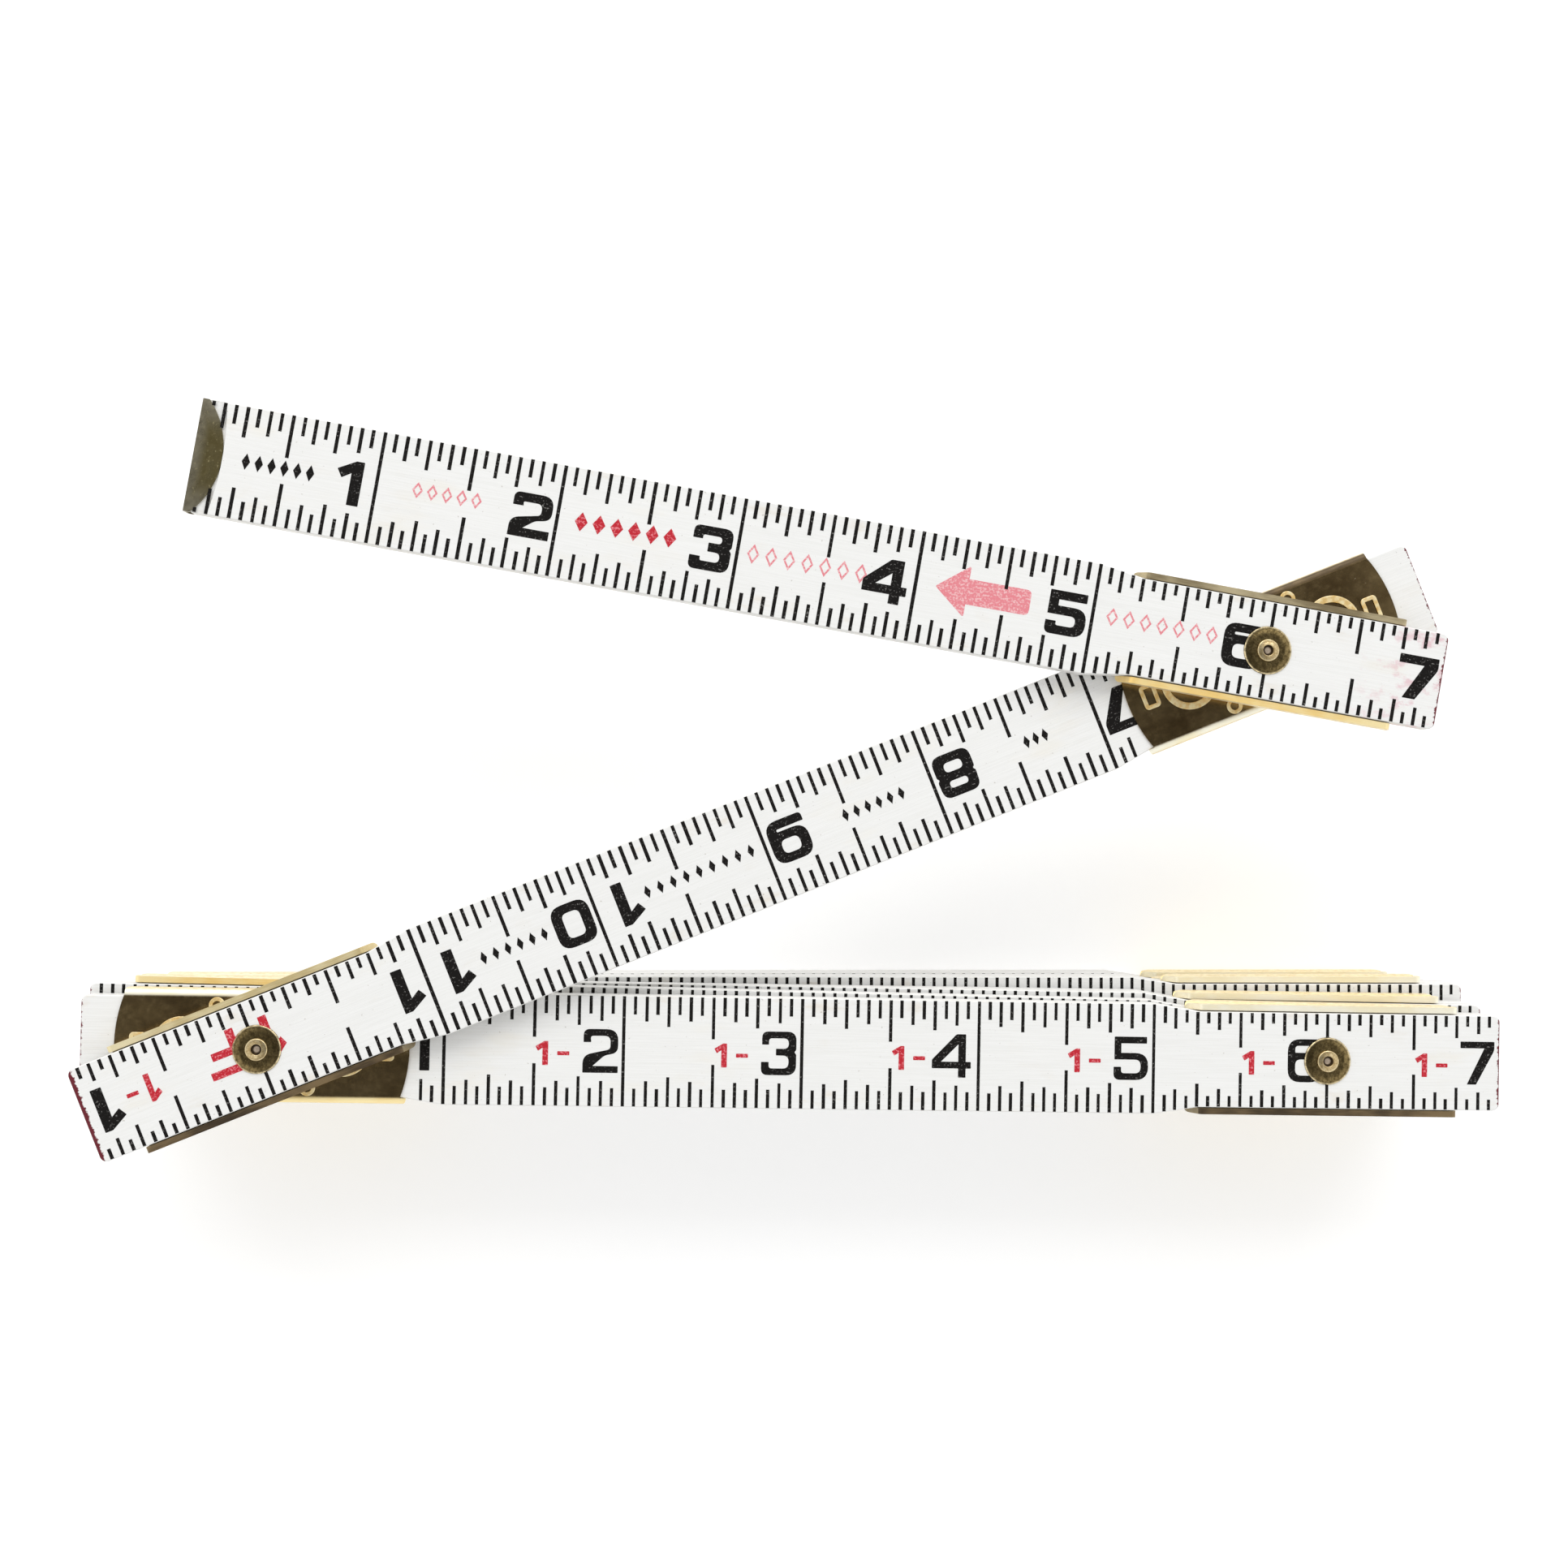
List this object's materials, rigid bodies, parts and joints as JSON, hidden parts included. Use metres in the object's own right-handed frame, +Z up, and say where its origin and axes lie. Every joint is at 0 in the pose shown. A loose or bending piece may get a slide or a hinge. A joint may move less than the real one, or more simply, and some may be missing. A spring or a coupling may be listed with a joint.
{
  "type": "folding rule",
  "caption": "Zigzag folding rule: white wooden blades joined by sprung brass pivots, with brass-capped ends, shown partly unfolded.",
  "frame": {"origin": "middle of the rule's footprint as it lies partly unfolded, on the surface it lies on", "axes": "+Z up, along every pivot, with each blade flat in its own layer; +X along the folded stack, away from the end that has the 72-inch cap; +Y towards the two opened blades"},
  "size_m": [0.2038, 0.1056, 0.0387],
  "materials": {
    "painted_blade": "white enamel, semi-gloss",
    "joint_plate": "darkened, satin",
    "eyelet": "satin",
    "washer": "satin",
    "end_cap": "darkened, satin"
  },
  "bodies": {
    "blade_12": {"section_12": "painted_blade", "washers_12": "washer", "joint_11_lower_plate": "joint_plate", "end_cap_finish": "end_cap"},
    "blade_11": {"section_11": "painted_blade", "washers_11": "washer", "joint_11_upper_plate": "joint_plate", "joint_11_eyelet": "eyelet", "joint_10_lower_plate": "joint_plate"},
    "blade_10": {"section_10": "painted_blade", "washers_10": "washer", "joint_10_upper_plate": "joint_plate", "joint_10_eyelet": "eyelet", "joint_09_lower_plate": "joint_plate"},
    "blade_09": {"section_09": "painted_blade", "washers_09": "washer", "joint_09_upper_plate": "joint_plate", "joint_09_eyelet": "eyelet", "joint_08_lower_plate": "joint_plate"},
    "blade_08": {"section_08": "painted_blade", "washers_08": "washer", "joint_08_upper_plate": "joint_plate", "joint_08_eyelet": "eyelet", "joint_07_lower_plate": "joint_plate"},
    "blade_07": {"section_07": "painted_blade", "washers_07": "washer", "joint_07_upper_plate": "joint_plate", "joint_07_eyelet": "eyelet", "joint_06_lower_plate": "joint_plate"},
    "blade_06": {"section_06": "painted_blade", "washers_06": "washer", "joint_06_upper_plate": "joint_plate", "joint_06_eyelet": "eyelet", "joint_05_lower_plate": "joint_plate"},
    "blade_05": {"section_05": "painted_blade", "washers_05": "washer", "joint_05_upper_plate": "joint_plate", "joint_05_eyelet": "eyelet", "joint_04_lower_plate": "joint_plate"},
    "blade_04": {"section_04": "painted_blade", "washers_04": "washer", "joint_04_upper_plate": "joint_plate", "joint_04_eyelet": "eyelet", "joint_03_lower_plate": "joint_plate"},
    "blade_03": {"section_03": "painted_blade", "washers_03": "washer", "joint_03_upper_plate": "joint_plate", "joint_03_eyelet": "eyelet", "joint_02_lower_plate": "joint_plate"},
    "blade_02": {"section_02": "painted_blade", "washers_02": "washer", "joint_02_upper_plate": "joint_plate", "joint_02_eyelet": "eyelet", "joint_01_lower_plate": "joint_plate"},
    "blade_01": {"section_01": "painted_blade", "washers_01": "washer", "joint_01_upper_plate": "joint_plate", "joint_01_eyelet": "eyelet", "end_cap_start": "end_cap"}
  },
  "joints": [
    {"name": "joint_11_turn", "type": "hinge", "parent": "blade_12", "child": "blade_11", "pos_m": [0.07639, -0.03802, 0.00325], "axis": [0, 0, 1], "range_deg": [0, 180]},
    {"name": "joint_10_turn", "type": "hinge", "parent": "blade_11", "child": "blade_10", "pos_m": [-0.07601, -0.03741, 0.0065], "axis": [0, 0, 1], "range_deg": [-179.81, 0.19]},
    {"name": "joint_09_turn", "type": "hinge", "parent": "blade_10", "child": "blade_09", "pos_m": [0.07638, -0.03853, 0.00975], "axis": [0, 0, 1], "range_deg": [-179.81, 0.19]},
    {"name": "joint_08_turn", "type": "hinge", "parent": "blade_09", "child": "blade_08", "pos_m": [-0.07601, -0.03691, 0.013], "axis": [0, 0, 1], "range_deg": [-0.38, 179.62]},
    {"name": "joint_07_turn", "type": "hinge", "parent": "blade_08", "child": "blade_07", "pos_m": [0.07639, -0.03752, 0.01625], "axis": [0, 0, 1], "range_deg": [-179.92, 0.08]},
    {"name": "joint_06_turn", "type": "hinge", "parent": "blade_07", "child": "blade_06", "pos_m": [-0.07601, -0.03669, 0.0195], "axis": [0, 0, 1], "range_deg": [-179.21, 0.79]},
    {"name": "joint_05_turn", "type": "hinge", "parent": "blade_06", "child": "blade_05", "pos_m": [0.07637, -0.03962, 0.02275], "axis": [0, 0, 1], "range_deg": [-179.82, 0.18]},
    {"name": "joint_04_turn", "type": "hinge", "parent": "blade_05", "child": "blade_04", "pos_m": [-0.076, -0.03621, 0.026], "axis": [0, 0, 1], "range_deg": [-179.66, 0.34]},
    {"name": "joint_03_turn", "type": "hinge", "parent": "blade_04", "child": "blade_03", "pos_m": [0.07634, -0.04052, 0.02925], "axis": [0, 0, 1], "range_deg": [-0.45, 179.55]},
    {"name": "joint_02_turn", "type": "hinge", "parent": "blade_03", "child": "blade_02", "pos_m": [-0.07602, -0.03741, 0.0325], "axis": [0, 0, 1], "range_deg": [-22.64, 157.36]},
    {"name": "joint_01_turn", "type": "hinge", "parent": "blade_02", "child": "blade_01", "pos_m": [0.0658, 0.01837, 0.03575], "axis": [0, 0, 1], "range_deg": [-148.46, 31.54]}
  ]
}
